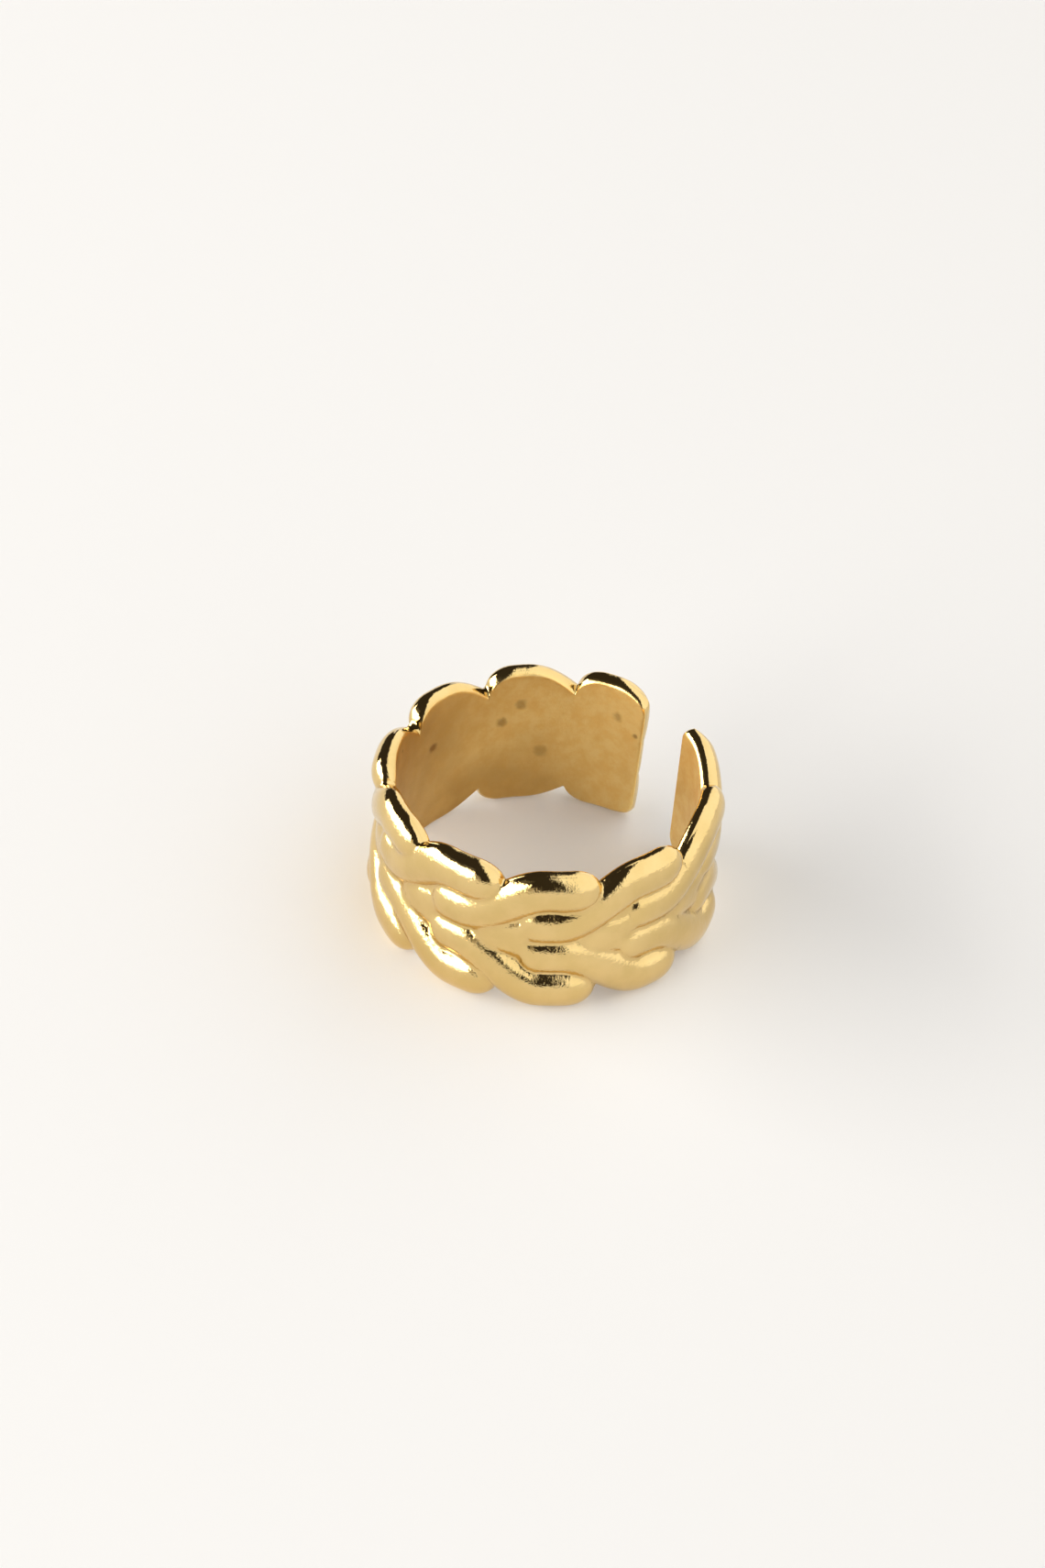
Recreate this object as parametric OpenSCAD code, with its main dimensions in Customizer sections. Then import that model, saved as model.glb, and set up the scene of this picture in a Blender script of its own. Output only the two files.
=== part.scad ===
// Open band ring with a raised flat braid, cast in one piece and gold plated.
// Its two rims follow the lobes of the braid, and its bore is plain.
// Frame: Z runs along the finger, the origin is the middle of the bore,
// and the gap that lets the ring open faces +Y.
// Angles run anticlockwise around the finger, seen from above, from the middle of the gap.

/* [Band] */
// Inner diameter, where the finger goes
bore_d = 17.3; // [15:0.1:21]
// Height of the band along the finger, over the crests of its lobes
band_h = 9.6; // [9:0.1:11]
// Thickness of the plain shell under the braid
shell_t = 0.55; // [0.5:0.05:0.8]
// Height of the rounded edge between a rim and the bore
lip_h = 0.4; // [0.3:0.05:0.5]

/* [Braid] */
// Height of a strand over the shell, at its lobe
relief = 0.95; // [0.8:0.05:1.2]
// How much lower a strand lies at its start than at its lobe
start_drop = 0.25; // [0:0.05:0.4]
// Least height of the metal over the shell, in the bottom of the creases
crease_fill = 0.25; // [0.1:0.05:0.4]
// Angle around the finger that one strand covers
strand_span = 62; // [56:1:66]
// Height of a strand's centre line over the middle of the band, at its start
start_z = 1.1; // [1:0.05:1.4]
// Half width of a strand at its start
start_half_w = 1.25; // [1.1:0.05:1.4]
// Half width of a strand at its lobe, along the rim
lobe_half_w = 1.3; // [1.2:0.05:1.5]
// Angle over which a strand climbs from its start to its rim
climb_span = 32; // [26:1:38]
// Length of a lobe's rounded tip
tip_len = 1.7; // [1:0.1:2]
// Length of a strand's rounded start
start_len = 1.2; // [0.8:0.1:1.6]
// Height over the shell of a strand's root, the low part that comes out from between two others
root_relief = 0.5; // [0.3:0.05:0.6]
// Half width of a root
root_half_w = 1; // [0.7:0.05:1.2]
// How sharply one strand meets the next: a larger number makes a sharper crease
crease_power = 10; // [6:1:16]

/* [Gap] */
// Angle of the gap, at the middle of the band
gap_angle = 21.4; // [14:0.2:26]
// Lean of the gap: degrees around the finger for each millimetre of height
gap_lean = -0.4; // [-0.8:0.05:0]
// Length over which each end of the band thins out
end_taper = 1.8; // [1.2:0.1:2.4]
// Thickness of the band at its two ends
end_t = 0.35; // [0.3:0.05:0.5]
// Radius of the corners of the two ends
end_corner = 0.6; // [0.4:0.1:1.2]

/* [Facets] */
// Steps around the finger between the two tapers
steps_around = 132; // [96:4:136]
// Steps along each taper
steps_taper = 5; // [4:1:6]
// Steps over the outside, from rim to rim
steps_across = 30; // [24:1:31]

/* [Hidden] */

bore_r = bore_d / 2;
half_h = band_h / 2;
// Height of the strands' centre lines over the middle of the band, at their lobes
lobe_z = half_h - lobe_half_w;
// Millimetres for each degree around the finger, halfway up the relief
mm_per_deg = PI / 180 * (bore_r + shell_t + relief / 2);
taper_angle = end_taper / mm_per_deg;
first_angle = gap_angle / 2;
last_angle = 360 - gap_angle / 2;
// Angle that a root covers before its strand's start, and its centre line's height at its far end
root_span = 18;
root_z = 0.3;
// Shares of that angle, counted from the strand's start: a root begins under its strand,
// and its centre line starts to sink there too
root_from = -0.5;
root_sink_from = -0.75;
// The solid is closed this far inside the bore, before the bore is cut
core_depth = 0.6;

// A strand's row: the angle at which it ends in a lobe, and how far before that it is halfway up.
// The strands are laid by hand, so that they differ a little.
END = 0;
CLIMB = 1;
UPPER_STRANDS = [
    [3, 31], [38.5, 31], [72, 31], [106.5, 31], [143, 32], [180, 36],
    [213.5, 35.5], [248, 34.5], [281.5, 34], [319.5, 32.5], [356, 32], [392.5, 32]
];
LOWER_STRANDS = [
    [6.5, 34], [41, 34], [74.5, 34], [109.5, 34], [145.5, 34], [178.5, 34.5],
    [213, 33], [247.5, 35], [281.5, 31], [316.5, 33], [351.5, 34], [386.5, 34]
];

// Smooth rise from 0 to 1
function ease(t) = let (c = min(1, max(0, t))) c * c * (3 - 2 * c);

// Slope of that rise
function ease_slope(t) = let (c = min(1, max(0, t))) 6 * c * (1 - c);

// Distance that a rounded corner of radius r takes off, at a distance d from the edge
function rounded(d, r) = r - sqrt(max(0, r * r - pow(max(0, r - d), 2)));

// A strand, cut at angle a:
// [centre height, half width along Z, height over the shell, share left by its two rounded ends]
function strand(a, row) =
    let (
        before = row[END] - a,
        up = 0.5 + (row[CLIMB] - before) / climb_span,
        rise = (lobe_z - start_z) * ease_slope(up) / (climb_span * mm_per_deg),
        half_w = start_half_w + (lobe_half_w - start_half_w) * ease(up),
        tip = max(0, 1 - before * mm_per_deg / tip_len),
        start = max(0, 1 - (strand_span - before) * mm_per_deg / start_len)
    )
    [
        start_z + (lobe_z - start_z) * ease(up),
        half_w * sqrt(1 + rise * rise),
        relief - start_drop * min(1, max(0, before / strand_span)),
        1 - tip * tip - start * start
    ];

// A strand's root, cut at angle a, in the same terms: it sinks towards the middle of the band
function root(a, row) =
    let (
        along = (row[END] - a - strand_span) / root_span,
        tip = max(0, 1 - (1 - along) * root_span * mm_per_deg / tip_len),
        start = max(0, 1 - (along - root_from) * root_span * mm_per_deg / start_len)
    )
    [
        start_z - (start_z - root_z) * ease(along - root_sink_from),
        root_half_w,
        root_relief,
        1 - tip * tip - start * start
    ];

// The strands that pass angle a
function passing(a, strands) =
    [for (row = strands) if (a < row[END] && a > row[END] - strand_span) strand(a, row)];

// The roots that pass angle a
function roots_passing(a, strands) =
    [
        for (row = strands)
            let (before = row[END] - a - strand_span)
            if (before > root_from * root_span && before < root_span)
                root(a, row)
    ];

// Height of the rim over the middle of the band at angle a
function rim_z(a, strands) =
    max([0, for (s = passing(a, strands)) if (s[3] > 0) s[0] + s[1] * sqrt(s[3])]);

// Heights over the shell of one rim's strands, at angle a and at a height z towards that rim
function strand_heights(a, z, strands) =
    [
        for (s = concat(passing(a, strands), roots_passing(a, strands)))
            s[2] * sqrt(max(0, s[3] - pow((z - s[0]) / s[1], 2)))
    ];

function sum_of_powers(list, power, i = 0) =
    i == len(list) ? 0 : pow(list[i], power) + sum_of_powers(list, power, i + 1);

// The highest strand's height, a little filled where two strands meet at the same height
function braid_over_shell(a, z) =
    let (heights = concat(strand_heights(a, z, UPPER_STRANDS), strand_heights(a, -z, LOWER_STRANDS)))
    pow(sum_of_powers(heights, crease_power), 1 / crease_power);

// A point at angle a, at the middle of the band, from which the leaning column rises or falls to z
function on_column(a, r, z) =
    let (turn = 90 + a + gap_lean * z)
    [r * cos(turn), r * sin(turn), z];

// Section points from the rim over the lip to inside the bore: side is 1 on the upper rim
function lip_points(a, rim, edge_t, side) =
    [
        for (turn = [30, 60])
            on_column(
                a,
                bore_r + edge_t * (1 - sin(turn)),
                side * (rim - lip_h * (1 - cos(turn)))
            ),
        on_column(a, bore_r - core_depth, side * (rim - 2 * lip_h))
    ];

function reversed(list) = [for (i = [len(list) - 1:-1:0]) list[i]];

// The band's section at angle a: up the outside from the lower lip to the upper one
function section(a) =
    let (
        from_end = min(a - first_angle, last_angle - a) * mm_per_deg,
        corner = rounded(from_end, end_corner),
        upper = rim_z(a + gap_lean * lobe_z, UPPER_STRANDS) - corner,
        lower = rim_z(a - gap_lean * lobe_z, LOWER_STRANDS) - corner,
        middle = (upper - lower) / 2,
        reach = (upper + lower) / 2,
        full = sqrt(max(0, 1 - pow(max(0, 1 - from_end / end_taper), 2))),
        edge_t = end_t + (shell_t - end_t) * full
    )
    concat(
        reversed(lip_points(a, lower, edge_t, -1)),
        [
            for (i = [0:steps_across])
                let (
                    turn = -90 + 180 * i / steps_across,
                    z = middle + reach * sin(turn),
                    over = braid_over_shell(a + gap_lean * z, z),
                    filled = max(over, crease_fill * cos(turn)),
                    rim_or_over = (i == 0 || i == steps_across) ? 0 : filled
                )
                on_column(a, bore_r + edge_t + rim_or_over * full, z)
        ],
        lip_points(a, upper, edge_t, 1)
    );

// Angles of the sections: closer together along the two tapers
column_angles = concat(
    [for (i = [0:steps_taper - 1]) first_angle + taper_angle * (1 - cos(90 * i / steps_taper))],
    [
        for (i = [0:steps_around])
            first_angle + taper_angle
                + (last_angle - first_angle - 2 * taper_angle) * i / steps_around
    ],
    [for (i = [steps_taper - 1:-1:0]) last_angle - taper_angle * (1 - cos(90 * i / steps_taper))]
);

// Closed skin through a list of sections, with a fan of triangles over each end
module skin(sections) {
    columns = len(sections);
    rows = len(sections[0]);
    all_points = [for (column = sections) each column];
    first_middle = (sections[0][0] + sections[0][rows - 1]) / 2;
    last_middle = (sections[columns - 1][0] + sections[columns - 1][rows - 1]) / 2;
    // The fans meet in the middle of the ends' thickness
    outward = (bore_r + end_t / 2) / (bore_r - core_depth);
    caps = [
        [first_middle[0] * outward, first_middle[1] * outward, first_middle[2]],
        [last_middle[0] * outward, last_middle[1] * outward, last_middle[2]]
    ];
    sides = [
        for (i = [0:columns - 2])
            for (j = [0:rows - 1])
                let (
                    a = i * rows + j,
                    b = i * rows + (j + 1) % rows,
                    c = b + rows,
                    d = a + rows
                )
                each [[a, b, c], [a, c, d]]
    ];
    first_fan = [for (j = [0:rows - 1]) [columns * rows, (j + 1) % rows, j]];
    last_fan = [
        for (j = [0:rows - 1])
            [
                columns * rows + 1,
                (columns - 1) * rows + j,
                (columns - 1) * rows + (j + 1) % rows
            ]
    ];
    polyhedron(concat(all_points, caps), concat(sides, first_fan, last_fan), convexity = 6);
}

module braided_band() {
    color("goldenrod")
        difference() {
            skin([for (a = column_angles) section(a)]);
            translate([0, 0, -band_h])
                cylinder(h = 2 * band_h, r = bore_r, $fn = 180);
        }
}

braided_band();
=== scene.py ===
"""Looks of the chain ring: the braided band in full detail, its gold, the floor, the light and the camera."""
import math

import bpy
import numpy as np
from mathutils import Matrix, Vector


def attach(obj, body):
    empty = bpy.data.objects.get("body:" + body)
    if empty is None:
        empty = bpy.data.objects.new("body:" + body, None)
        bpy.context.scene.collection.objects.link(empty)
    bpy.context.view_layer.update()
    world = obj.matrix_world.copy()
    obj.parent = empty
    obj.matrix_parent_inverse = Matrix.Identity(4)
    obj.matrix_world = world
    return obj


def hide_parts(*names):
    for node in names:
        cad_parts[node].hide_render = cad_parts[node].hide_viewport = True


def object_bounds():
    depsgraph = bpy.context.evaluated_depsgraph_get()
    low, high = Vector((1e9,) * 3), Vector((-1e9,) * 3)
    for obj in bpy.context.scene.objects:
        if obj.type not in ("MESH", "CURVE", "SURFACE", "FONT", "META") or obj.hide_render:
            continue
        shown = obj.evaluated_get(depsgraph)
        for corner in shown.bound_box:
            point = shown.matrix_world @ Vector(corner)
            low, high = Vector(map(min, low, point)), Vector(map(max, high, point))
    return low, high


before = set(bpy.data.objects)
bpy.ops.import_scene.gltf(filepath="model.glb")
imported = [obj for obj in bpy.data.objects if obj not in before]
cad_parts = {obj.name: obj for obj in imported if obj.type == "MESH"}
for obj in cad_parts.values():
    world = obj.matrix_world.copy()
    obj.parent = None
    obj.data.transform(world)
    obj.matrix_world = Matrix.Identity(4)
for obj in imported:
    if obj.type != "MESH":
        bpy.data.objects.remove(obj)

CAD_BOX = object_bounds()
MM = 0.001

# Sizes of the band, in millimetres, as in the part's source
BORE_R = 8.65
BAND_H = 9.6
SHELL_T = 0.55
LIP_H = 0.4
RELIEF = 0.95
START_DROP = 0.25
CREASE_FILL = 0.25
STRAND_SPAN = 62
START_Z = 1.1
START_HALF_W = 1.25
LOBE_HALF_W = 1.3
CLIMB_SPAN = 32
TIP_LEN = 1.7
START_LEN = 1.2
ROOT_SPAN = 18
ROOT_Z = 0.3
ROOT_RELIEF = 0.5
ROOT_HALF_W = 1
ROOT_FROM = -0.5
ROOT_SINK_FROM = -0.75
GAP_ANGLE = 21.4
GAP_LEAN = -0.4
END_TAPER = 1.8
END_T = 0.35
END_CORNER = 0.6

# Share of the ends' thickness that their rounding takes off
END_ROUNDING = 0.9

# A strand's row: the angle from the middle of the gap at which it ends in a lobe,
# and how far before that it is halfway up
UPPER_STRANDS = [
    (3, 31), (38.5, 31), (72, 31), (106.5, 31), (143, 32), (180, 36),
    (213.5, 35.5), (248, 34.5), (281.5, 34), (319.5, 32.5), (356, 32), (392.5, 32),
]
LOWER_STRANDS = [
    (6.5, 34), (41, 34), (74.5, 34), (109.5, 34), (145.5, 34), (178.5, 34.5),
    (213, 33), (247.5, 35), (281.5, 31), (316.5, 33), (351.5, 34), (386.5, 34),
]

# How sharply one strand meets the next
CREASE_POWER = 10

# Painted shade darkens a crease where it lies this far, in millimetres, under the surface smoothed this often
HOLLOW_DEPTH = 0.07
HOLLOW_STEPS = 12

# The polish starts at this share of the way from the middle of the band to a rim, and grows over this share
POLISH_FROM = 0.86
POLISH_BLEND = 0.1

# Steps of the band's mesh
STEPS_AROUND = 700
STEPS_TAPER = 24
STEPS_ACROSS = 84
STEPS_LIP = 9
STEPS_BORE = 16

LOBE_Z = BAND_H / 2 - LOBE_HALF_W
MM_PER_DEG = math.radians(BORE_R + SHELL_T + RELIEF / 2)

# The photograph: where the ring's middle shows, in its pixels, and from where it is seen
PHOTO_W, PHOTO_H = 1140, 1710
RING_PX = (594.9, 908)
PX_PER_MM = 19.1
CAMERA_MM = 334.5
CAMERA_AZIMUTH = 46.9
CAMERA_ELEVATION = 39.8
CAMERA_ROLL = -3.6
SENSOR_MM = 36


def ease(t):
    """Smooth rise from 0 to 1."""
    t = np.clip(t, 0, 1)
    return t * t * (3 - 2 * t)


def ease_slope(t):
    """Slope of that rise."""
    t = np.clip(t, 0, 1)
    return 6 * t * (1 - t)


def strand(a, row):
    """A strand at angle a: centre height, half width, height over the shell, and share left by its ends."""
    end, climb = row
    before = end - a
    up = 0.5 + (climb - before) / CLIMB_SPAN
    rise = (LOBE_Z - START_Z) * ease_slope(up) / (CLIMB_SPAN * MM_PER_DEG)
    half_w = START_HALF_W + (LOBE_HALF_W - START_HALF_W) * ease(up)
    tip = np.maximum(0, 1 - before * MM_PER_DEG / TIP_LEN)
    start = np.maximum(0, 1 - (STRAND_SPAN - before) * MM_PER_DEG / START_LEN)
    height = RELIEF - START_DROP * np.clip(before / STRAND_SPAN, 0, 1)
    centre = START_Z + (LOBE_Z - START_Z) * ease(up)
    return centre, half_w * np.sqrt(1 + rise * rise), height, 1 - tip * tip - start * start


def root(a, row):
    """The same for a strand's root, the low part that sinks towards the middle of the band."""
    along = (row[0] - a - STRAND_SPAN) / ROOT_SPAN
    tip = np.maximum(0, 1 - (1 - along) * ROOT_SPAN * MM_PER_DEG / TIP_LEN)
    start = np.maximum(0, 1 - (along - ROOT_FROM) * ROOT_SPAN * MM_PER_DEG / START_LEN)
    centre = START_Z - (START_Z - ROOT_Z) * ease(along - ROOT_SINK_FROM)
    return centre, ROOT_HALF_W, ROOT_RELIEF, 1 - tip * tip - start * start


def rim_z(a, strands):
    """Height of a rim over the middle of the band."""
    rim = np.zeros_like(a)
    for row in strands:
        centre, half_w, _, left = strand(a, row)
        reach = centre + half_w * np.sqrt(np.maximum(left, 0))
        rim = np.maximum(rim, np.where(left > 0, reach, 0))
    return rim


def braid_over_shell(a, z):
    """The highest strand's height over the shell, a little filled where two strands are as high."""
    total = np.zeros_like(z)
    for side, strands in ((1, UPPER_STRANDS), (-1, LOWER_STRANDS)):
        for shape in (strand, root):
            for row in strands:
                centre, half_w, height, left = shape(a, row)
                left = left - ((side * z - centre) / half_w) ** 2
                total += (height * np.sqrt(np.maximum(left, 0))) ** CREASE_POWER
    return total ** (1 / CREASE_POWER)


def hollows(outer_r):
    """1 in the creases and 0 on the crests, by how far a point lies under those round it: the mask of the
    creases' painted shade.
    """
    around = outer_r.copy()
    for _ in range(HOLLOW_STEPS):
        padded = np.pad(around, 1, mode="edge")
        around = (padded[:-2, 1:-1] + padded[2:, 1:-1] + padded[1:-1, :-2] + padded[1:-1, 2:]) / 4
    return ease((around - outer_r) / HOLLOW_DEPTH)


def on_column(a, r, z):
    """A point at radius r and height z on the leaning column that stands at angle a halfway up the band."""
    turn = np.radians(90 + a + GAP_LEAN * z)
    return np.stack([r * np.cos(turn), r * np.sin(turn), z], -1)


def rounded(d, r):
    """What a rounded corner of radius r takes off, at a distance d from the edge."""
    return r - np.sqrt(np.maximum(0, r * r - np.maximum(0, r - d) ** 2))


def column_angles():
    """Angles of the sections, closer together towards the two ends."""
    first, last = GAP_ANGLE / 2, 360 - GAP_ANGLE / 2
    taper = END_TAPER / MM_PER_DEG
    near_end = taper * (1 - np.cos(np.linspace(0, math.pi / 2, STEPS_TAPER + 1)))
    between = np.linspace(first + taper, last - taper, STEPS_AROUND)
    return np.concatenate([first + near_end, between[1:-1], (last - near_end)[::-1]])


def band_sections():
    """Points of the band's sections, a row for each, and the points' shares of polish, bore and hollow."""
    a = column_angles()[:, None]
    from_end = np.minimum(a - a[0], a[-1] - a) * MM_PER_DEG
    corner = rounded(from_end, END_CORNER)
    upper = rim_z(a + GAP_LEAN * LOBE_Z, UPPER_STRANDS) - corner
    lower = rim_z(a - GAP_LEAN * LOBE_Z, LOWER_STRANDS) - corner
    full = np.sqrt(np.maximum(0, 1 - np.maximum(0, 1 - from_end / END_TAPER) ** 2))
    blunt = END_ROUNDING * rounded(from_end, END_T / 2)
    edge_t = END_T + (SHELL_T - END_T) * full - blunt

    turn = np.radians(np.linspace(-90, 90, STEPS_ACROSS + 1))[None, :]
    outer_z = (upper - lower) / 2 + (upper + lower) / 2 * np.sin(turn)
    over = braid_over_shell(a + GAP_LEAN * outer_z, outer_z)
    over = np.maximum(over, CREASE_FILL * np.cos(turn))
    over[:, [0, -1]] = 0
    outer_r = BORE_R + edge_t + over * full

    lip = np.radians(np.linspace(0, 90, STEPS_LIP + 1))[None, 1:]
    lip_r = BORE_R + blunt + (edge_t - blunt) * (1 - np.sin(lip))
    lip_drop = LIP_H * (1 - np.cos(lip))
    upper_z, lower_z = upper - lip_drop, -lower + lip_drop

    share = np.linspace(0, 1, STEPS_BORE + 1)[None, 1:-1]
    bore_z = upper_z[:, -1:] + (lower_z[:, -1:] - upper_z[:, -1:]) * share
    bore_r = BORE_R + blunt + 0 * bore_z

    parts = [(lip_r[:, ::-1], lower_z[:, ::-1]), (outer_r, outer_z), (lip_r, upper_z), (bore_r, bore_z)]
    points = np.concatenate([on_column(a + 0 * z, r, z) for r, z in parts], 1)
    polish = np.concatenate([
        np.ones_like(lower_z),
        ease((np.abs(np.sin(turn)) - POLISH_FROM) / POLISH_BLEND) + 0 * outer_z,
        np.ones_like(upper_z),
        np.zeros_like(bore_z),
    ], 1)
    bore = np.concatenate([
        ease(lip_drop[:, ::-1] / LIP_H) + 0 * lower_z,
        0 * outer_z,
        ease(lip_drop / LIP_H) + 0 * upper_z,
        np.ones_like(bore_z),
    ], 1)
    hollow = np.zeros_like(polish)
    hollow[:, STEPS_LIP:STEPS_LIP + STEPS_ACROSS + 1] = hollows(outer_r)
    return points * MM, polish, bore, hollow


def new_mesh_object(name, points, faces):
    mesh = bpy.data.meshes.new(name)
    mesh.from_pydata(points.tolist(), [], faces)
    mesh.update()
    piece = bpy.data.objects.new(name, mesh)
    bpy.context.scene.collection.objects.link(piece)
    return piece


def braided_band():
    """The whole ring as one closed mesh: a grid of sections with a fan of triangles over each end."""
    points, polish, bore, hollow = band_sections()
    columns, rows = polish.shape
    index = np.arange(columns * rows).reshape(columns, rows)
    right, up = index[1:], np.roll(index, -1, 1)
    faces = np.stack([index[:-1], right, up[1:], up[:-1]], -1).reshape(-1, 4).tolist()
    first, last = columns * rows, columns * rows + 1
    faces += [[first, index[0, j], index[0, (j + 1) % rows]] for j in range(rows)]
    faces += [[last, index[-1, (j + 1) % rows], index[-1, j]] for j in range(rows)]
    middles = np.stack([points[0].mean(0), points[-1].mean(0)])
    piece = new_mesh_object("braided_band_gold", np.concatenate([points.reshape(-1, 3), middles]), faces)
    piece.data.shade_smooth()
    for name, values in (("polish", polish), ("bore", bore), ("hollow", hollow)):
        layer = piece.data.attributes.new(name, "FLOAT", "POINT")
        layer.data.foreach_set("value", np.concatenate([values.ravel(), [0, 0]]).astype(np.float32))
    return piece


class Nodes:
    """Short calls for the nodes of a material or of the world."""

    def __init__(self, owner):
        owner.use_nodes = True
        self.tree = owner.node_tree
        self.tree.nodes.clear()

    def add(self, kind, inputs=None, **settings):
        node = self.tree.nodes.new(kind)
        for key, value in settings.items():
            setattr(node, key, value)
        for key, value in (inputs or {}).items():
            if isinstance(value, bpy.types.NodeSocket):
                self.tree.links.new(value, node.inputs[key])
            else:
                node.inputs[key].default_value = value
        return node

    def noise(self, place, scale, detail, roughness, output="Fac"):
        inputs = {"Vector": place, "Scale": scale, "Detail": detail, "Roughness": roughness}
        return self.add("ShaderNodeTexNoise", inputs).outputs[output]

    def attribute(self, name):
        return self.add("ShaderNodeAttribute", attribute_name=name).outputs["Fac"]

    def ramp(self, value, low, high, to_low=0.0, to_high=1.0):
        inputs = {"Value": value, "From Min": low, "From Max": high, "To Min": to_low, "To Max": to_high}
        return self.add("ShaderNodeMapRange", inputs, interpolation_type="SMOOTHSTEP").outputs["Result"]

    def mix_colour(self, share, one, other):
        node = self.add("ShaderNodeMix", data_type="RGBA")
        for socket, value in ((node.inputs[0], share), (node.inputs[6], one), (node.inputs[7], other)):
            if isinstance(value, bpy.types.NodeSocket):
                self.tree.links.new(value, socket)
            else:
                socket.default_value = value
        return node.outputs[2]

    def mix(self, share, one, other):
        return self.add("ShaderNodeMix", {0: share, 2: one, 3: other}, data_type="FLOAT").outputs[0]

    def maths(self, operation, one, other=0.0):
        return self.add("ShaderNodeMath", {0: one, 1: other}, operation=operation).outputs[0]

    def vector_maths(self, operation, inputs, output="Vector"):
        return self.add("ShaderNodeVectorMath", inputs, operation=operation).outputs[output]

    def bump(self, height, distance, strength=1.0, normal=None):
        inputs = {"Height": height, "Distance": distance, "Strength": strength}
        if normal is not None:
            inputs["Normal"] = normal
        return self.add("ShaderNodeBump", inputs).outputs["Normal"]


# Tones of the gold: two for the mottle of the braid, two for that of the bore, and three browns: painted
# shade in the creases, painted shade in the bore, and the bore's dark spots
BRAID_TONES = ((0.72, 0.52, 0.21, 1), (0.78, 0.57, 0.25, 1))
BORE_TONES = ((0.94, 0.63, 0.215, 1), (1.0, 0.745, 0.30, 1))
CREASE_SHADE_COLOUR = (0.46, 0.29, 0.12, 1)
BORE_SHADE_BROWN = (0.56, 0.34, 0.10, 1)
SPOT_BROWN = (0.33, 0.17, 0.045, 1)
# Share of painted shade that the deepest creases get
CREASE_SHADE_SHARE = 0.12

# Roughness of the satin braid, from its smoothest to its dullest grain, of the polished rims and of the bore
BRAID_ROUGHNESS = (0.07, 0.13)
RIM_ROUGHNESS = 0.05
BORE_ROUGHNESS = 0.42

# Depths of the three bumps: the cast surface's waves, fine scratches and grain
WAVE_DEPTH = 0.06 * MM
SCRATCH_DEPTH = 0.012 * MM
GRAIN_DEPTH = 0.02 * MM

# Share of the grain that the rims keep
RIM_GRAIN = 0.4

# Noises: how many bumps of noise to a metre, how many finer layers, and how rough they make it
BRAID_MOTTLE = (420, 5, 0.6)
BORE_MOTTLE = (900, 6, 0.7)
WAVES = (420, 2, 0.5)
SCRATCHES = (2600, 3, 0.6)
GRAIN = (5500, 2, 0.7)
PATCHES = (330, 3, 0.5)
SPOT_EDGES = (1500, 3, 0.5)

# Range of each noise that goes from one tone to the other
MOTTLE_RANGE = (0.35, 0.65)
SCRATCH_RANGE = (0.25, 0.75)
PATCH_RANGE = (0.3, 0.7)

# Painted shade makes the bore browner from the first height down to the second, though not beside the gap,
# and over its whole height on the side away from the gap. Both fade between two places along Y
BORE_SHADE_DOWN = (2.5 * MM, -5.0 * MM)
BORE_SHADE_BESIDE_GAP = (8.5 * MM, 5.0 * MM)
BORE_SHADE_FAR_SIDE = (6.5 * MM, -4.0 * MM)
BORE_SHADE_FAR_SHARE = 0.9

# Its patches have from the first to the second of these shares of the painted shade
PATCH_SHARES = (0.75, 1.1)

# Dark spots in the bore: angle from the middle of the gap, height and radius in millimetres, strength
BORE_SPOTS = [
    (60, 2.45, 0.5, 0.5),
    (67.5, 1.25, 0.45, 0.6),
    (98.5, 1.3, 0.42, 0.95),
    (50, -1.1, 0.55, 0.4),
    (22, 2.55, 0.4, 0.45),
    (13.3, 1.65, 0.24, 0.7),
    (125, 3.65, 0.18, 0.8),
]
SPOT_CORE = 0.3
SPOT_RAGGED = 0.5 * MM


def gold_plate():
    """Gold that is polished on the rims, slightly satin on the braid, and duller in the bore, with painted
    shade darkening the creases and browning the bore towards its lower rim and far side.
    """
    material = bpy.data.materials.new("gold_plate")
    n = Nodes(material)
    place = n.add("ShaderNodeTexCoord").outputs["Object"]
    polish = n.attribute("polish")
    bore = n.attribute("bore")
    # Painted shade in the creases between strands, strongest where the hollow mask is 1
    crease_shade = n.maths("MULTIPLY", n.attribute("hollow"), CREASE_SHADE_SHARE)

    braid_mottle = n.ramp(n.noise(place, *BRAID_MOTTLE), *MOTTLE_RANGE)
    braid_colour = n.mix_colour(braid_mottle, *BRAID_TONES)
    # The braid's creases darkened with painted shade
    braid_colour = n.mix_colour(crease_shade, braid_colour, CREASE_SHADE_COLOUR)
    bore_mottle = n.ramp(n.noise(place, *BORE_MOTTLE), *MOTTLE_RANGE)
    bore_colour = n.mix_colour(bore_mottle, *BORE_TONES)
    # Painted shade: the bore browner towards its lower rim and on the side away from the gap
    bore_colour = n.mix_colour(painted_bore_shade(n, place), bore_colour, BORE_SHADE_BROWN)
    bore_colour = n.mix_colour(spot_mask(n, place), bore_colour, SPOT_BROWN)
    colour = n.mix_colour(bore, braid_colour, bore_colour)

    scratches = n.noise(place, *SCRATCHES)
    roughness = n.ramp(scratches, *SCRATCH_RANGE, *BRAID_ROUGHNESS)
    roughness = n.mix(polish, roughness, RIM_ROUGHNESS)
    roughness = n.mix(bore, roughness, BORE_ROUGHNESS)

    normal = n.bump(n.noise(place, *WAVES), WAVE_DEPTH)
    normal = n.bump(scratches, SCRATCH_DEPTH, 1.0, normal)
    grain_share = n.ramp(polish, 0.0, 1.0, 1.0, RIM_GRAIN)
    normal = n.bump(n.noise(place, *GRAIN), GRAIN_DEPTH, grain_share, normal)

    gloss = n.add("ShaderNodeBsdfPrincipled", {
        "Base Color": colour,
        "Metallic": 1.0,
        "Roughness": roughness,
        "Normal": normal,
    })
    n.add("ShaderNodeOutputMaterial", {"Surface": gloss.outputs["BSDF"]})
    return material


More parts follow.
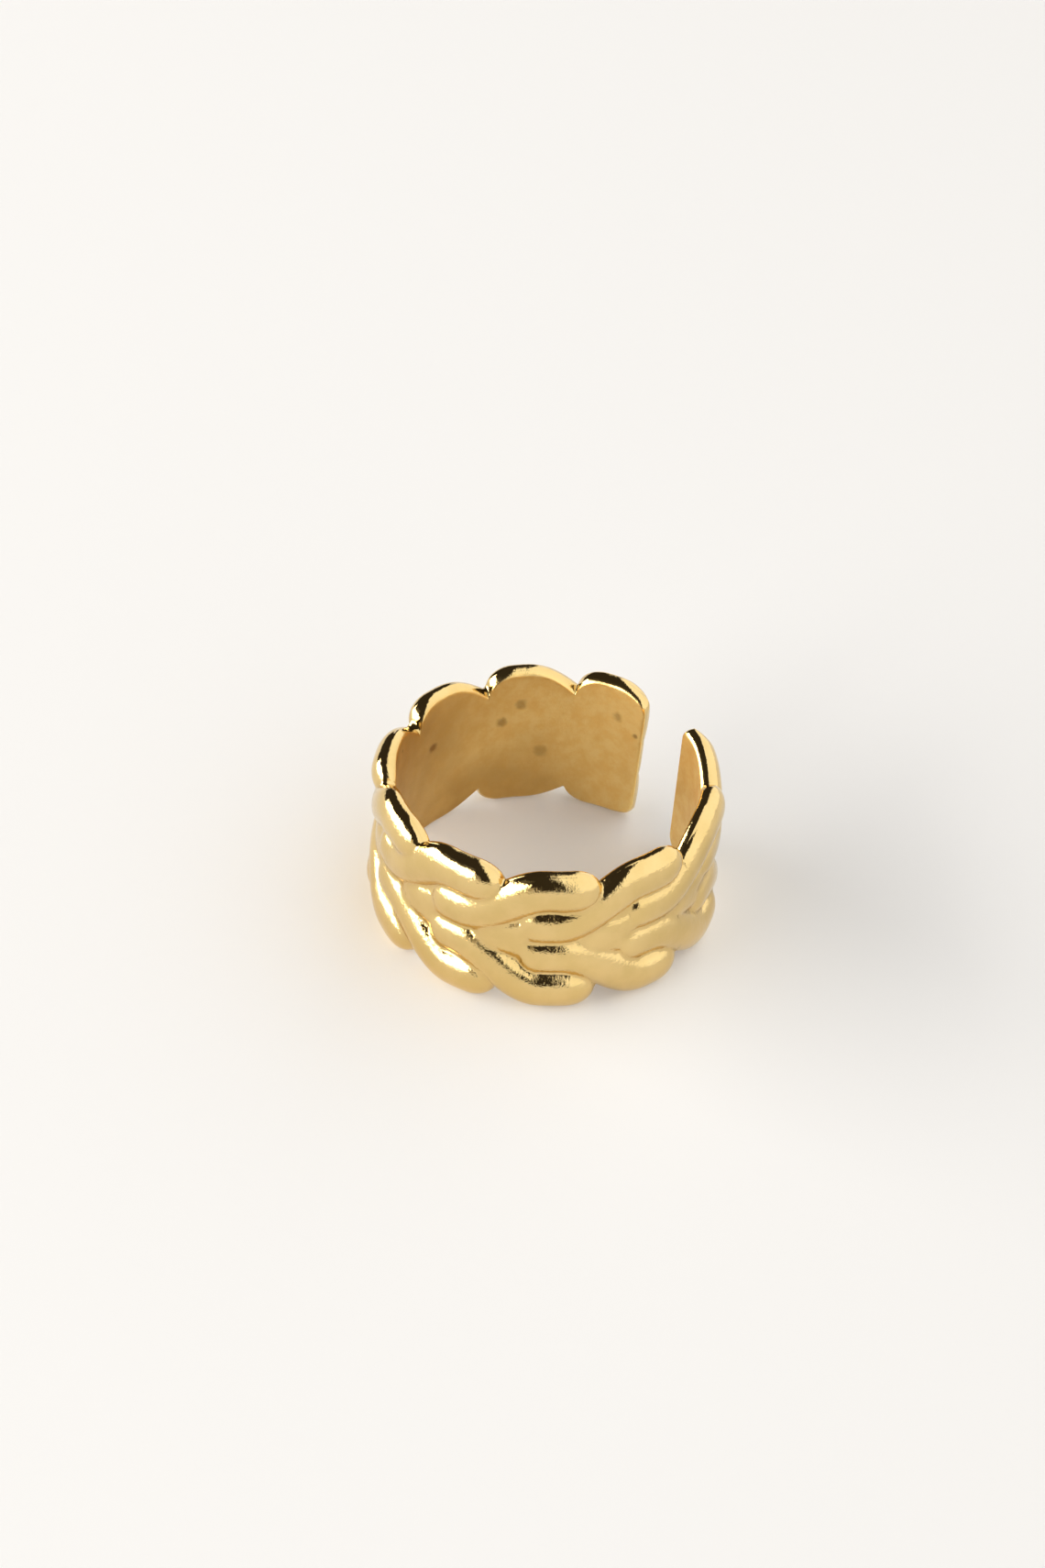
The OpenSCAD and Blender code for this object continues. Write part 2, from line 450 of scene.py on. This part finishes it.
def painted_bore_shade(n, place):
    """Painted shade in the bore: browner towards its lower rim and away from the gap, in soft patches."""
    axes = n.add("ShaderNodeSeparateXYZ", {0: place})
    low = n.ramp(axes.outputs["Z"], *BORE_SHADE_DOWN)
    clear_of_gap = n.ramp(axes.outputs["Y"], *BORE_SHADE_BESIDE_GAP)
    far_side = n.ramp(axes.outputs["Y"], *BORE_SHADE_FAR_SIDE, 0.0, BORE_SHADE_FAR_SHARE)
    patches = n.ramp(n.noise(place, *PATCHES), *PATCH_RANGE, *PATCH_SHARES)
    share = n.maths("MAXIMUM", n.maths("MULTIPLY", low, clear_of_gap), far_side)
    return n.maths("MULTIPLY", share, patches)


def spot_mask(n, place):
    """How much of a dark spot each point of the bore has, with ragged edges."""
    ragged = n.noise(place, *SPOT_EDGES, "Color")
    offset = n.vector_maths("ADD", {0: ragged, 1: (-0.5, -0.5, -0.5)})
    shift = n.vector_maths("SCALE", {0: offset, "Scale": SPOT_RAGGED})
    moved = n.vector_maths("ADD", {0: place, 1: shift})
    mask = 0.0
    for angle, z, radius, strength in BORE_SPOTS:
        centre = on_column(angle, BORE_R, z) * MM
        away = n.vector_maths("DISTANCE", {0: moved, 1: tuple(centre)}, "Value")
        inside = n.ramp(away, radius * MM, SPOT_CORE * radius * MM, 0.0, strength)
        mask = n.maths("MAXIMUM", mask, inside)
    return mask


def plain(name, colour, roughness, glow):
    material = bpy.data.materials.new(name)
    n = Nodes(material)
    surface = n.add("ShaderNodeBsdfPrincipled", {
        "Base Color": colour,
        "Roughness": roughness,
        "Emission Color": colour,
        "Emission Strength": glow,
    })
    n.add("ShaderNodeOutputMaterial", {"Surface": surface.outputs["BSDF"]})
    return material


def floor(height):
    """A flat pale floor under the ring."""
    reach = FLOOR_SIZE / 2
    corners = np.array([(-reach, -reach, 0), (reach, -reach, 0), (reach, reach, 0), (-reach, reach, 0)])
    piece = new_mesh_object("floor", corners, [[0, 1, 2, 3]])
    piece.data.materials.append(plain("pale_floor", FLOOR_COLOUR, FLOOR_ROUGHNESS, FLOOR_GLOW))
    piece.matrix_world = Matrix.Translation((0, 0, height))


def photo_direction(azimuth, elevation):
    """The direction from the ring to a point round it: azimuth 0 is behind the camera, 90 on its right."""
    a, e = math.radians(CAMERA_AZIMUTH + azimuth), math.radians(elevation)
    return Vector((math.sin(a) * math.cos(e), -math.cos(a) * math.cos(e), math.sin(e)))


def soft_light(name, azimuths, elevations, radiance, colour):
    """A soft box 1 m from the ring that fills a range of azimuths and elevations with an even light."""
    azimuth, elevation = sum(azimuths) / 2, sum(elevations) / 2
    lamp = bpy.data.lights.new(name, "AREA")
    lamp.shape = "RECTANGLE"
    lamp.size = 2 * math.tan(math.radians(azimuths[1] - azimuths[0]) / 2)
    lamp.size_y = 2 * math.tan(math.radians(elevations[1] - elevations[0]) / 2)
    lamp.energy = radiance * math.pi * lamp.size * lamp.size_y
    lamp.color = colour
    holder = bpy.data.objects.new(name, lamp)
    way = photo_direction(azimuth, elevation)
    holder.matrix_world = Matrix.Translation(way) @ way.to_track_quat("Z", "Y").to_matrix().to_4x4()
    bpy.context.scene.collection.objects.link(holder)


# The room round the ring: azimuths and elevations of its pale parts, their strength and their colour
ROOM = [
    ((-90, -46), (33, 47), 0.15, (1.0, 0.96, 0.90)),
    ((-40, -20), (-6, 16), 0.60, (1.0, 0.93, 0.84)),
    ((16, 174), (-6, 83), 1.38, (0.98, 0.98, 0.97)),
]
ROOM_DARK = (0.040, 0.034, 0.027, 1)
ROOM_EDGE = 6

# The window on the left, in the same terms
WINDOW = ((-120, -39), (-3, 34), 6.7, (1.0, 0.985, 0.965))

# The floor, in metres, with the little glow that stands for light thrown back by a white room
FLOOR_SIZE = 6
FLOOR_COLOUR = (0.735, 0.72, 0.70, 1)
FLOOR_ROUGHNESS = 0.9
FLOOR_GLOW = 0.23

# The backdrop beyond the floor's edge, in metres too
BACKDROP_COLOUR = (1.0, 0.985, 0.97, 1)
BACKDROP_GLOW = 0.95
BACKDROP_R = 2.9
BACKDROP_LOW = -0.1
BACKDROP_H = 4
BACKDROP_SIDES = 36


def room():
    """The world's light: a dim room whose walls are pale on the right and behind the ring."""
    world = bpy.data.worlds.new("room")
    n = Nodes(world)
    way = n.add("ShaderNodeTexCoord").outputs["Generated"]
    colour = ROOM_DARK
    up = n.add("ShaderNodeSeparateXYZ", {0: way}).outputs["Z"]
    elevation = n.maths("MULTIPLY", n.maths("ARCSINE", up), math.degrees(1))
    for azimuths, elevations, strength, tint in ROOM:
        middle = sum(azimuths) / 2
        ahead = n.vector_maths("DOT_PRODUCT", {0: way, 1: photo_direction(middle, 0)}, "Value")
        aside = n.vector_maths("DOT_PRODUCT", {0: way, 1: photo_direction(middle + 90, 0)}, "Value")
        turn = n.maths("ABSOLUTE", n.maths("ARCTAN2", aside, ahead))
        turn = n.maths("MULTIPLY", turn, math.degrees(1))
        half = (azimuths[1] - azimuths[0]) / 2
        inside = n.ramp(turn, half + ROOM_EDGE / 2, half - ROOM_EDGE / 2)
        over = n.ramp(elevation, elevations[0] - ROOM_EDGE / 2, elevations[0] + ROOM_EDGE / 2)
        under = n.ramp(elevation, elevations[1] + ROOM_EDGE / 2, elevations[1] - ROOM_EDGE / 2)
        share = n.maths("MULTIPLY", inside, n.maths("MULTIPLY", over, under))
        colour = n.mix_colour(share, colour, tuple(strength * c for c in tint) + (1,))
    background = n.add("ShaderNodeBackground", {"Color": colour})
    n.add("ShaderNodeOutputWorld", {"Surface": background.outputs["Background"]})
    return world


def backdrop():
    """A pale backdrop beyond the floor's edge, which only the camera sees."""
    material = bpy.data.materials.new("pale_backdrop")
    n = Nodes(material)
    glow = n.add("ShaderNodeEmission", {"Color": BACKDROP_COLOUR, "Strength": BACKDROP_GLOW})
    n.add("ShaderNodeOutputMaterial", {"Surface": glow.outputs["Emission"]})
    turns = np.radians(np.arange(BACKDROP_SIDES) * 360 / BACKDROP_SIDES)
    low = np.stack([BACKDROP_R * np.cos(turns), BACKDROP_R * np.sin(turns), 0 * turns + BACKDROP_LOW], -1)
    points = np.concatenate([low, low + [0, 0, BACKDROP_H]])
    count = BACKDROP_SIDES
    faces = [[i, (i + 1) % count, (i + 1) % count + count, i + count] for i in range(count)]
    faces.append(list(range(count, 2 * count)))
    piece = new_mesh_object("backdrop", points, faces)
    piece.data.materials.append(material)
    piece.visible_diffuse = False
    piece.visible_glossy = False
    piece.visible_shadow = False
    piece.visible_transmission = False


def camera():
    """The camera at the photograph's angle: the ring's middle falls on the photograph's pixel for it."""
    back = photo_direction(0, CAMERA_ELEVATION)
    level = Vector((0, 0, 1)).cross(back).normalized()
    upright = back.cross(level)
    roll = math.radians(CAMERA_ROLL)
    right = level * math.cos(roll) - upright * math.sin(roll)
    up = level * math.sin(roll) + upright * math.cos(roll)
    offset_x = (RING_PX[0] - PHOTO_W / 2) / PX_PER_MM * MM
    offset_y = (PHOTO_H / 2 - RING_PX[1]) / PX_PER_MM * MM
    place = back * CAMERA_MM * MM - right * offset_x - up * offset_y

    lens = bpy.data.cameras.new("camera")
    lens.sensor_fit = "VERTICAL"
    lens.sensor_height = SENSOR_MM
    lens.lens = SENSOR_MM * PX_PER_MM * CAMERA_MM / PHOTO_H
    lens.clip_start = 0.01
    lens.clip_end = 50
    holder = bpy.data.objects.new("camera", lens)
    axes = Matrix((right, up, back)).transposed().to_4x4()
    holder.matrix_world = Matrix.Translation(place) @ axes
    bpy.context.scene.collection.objects.link(holder)
    bpy.context.scene.camera = holder


band = braided_band()
band.data.materials.append(gold_plate())
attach(band, "root")
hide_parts("braided_band")

floor(CAD_BOX[0][2])
soft_light("window", *WINDOW)
bpy.context.scene.world = room()
backdrop()
camera()
bpy.context.scene.view_settings.view_transform = "Standard"
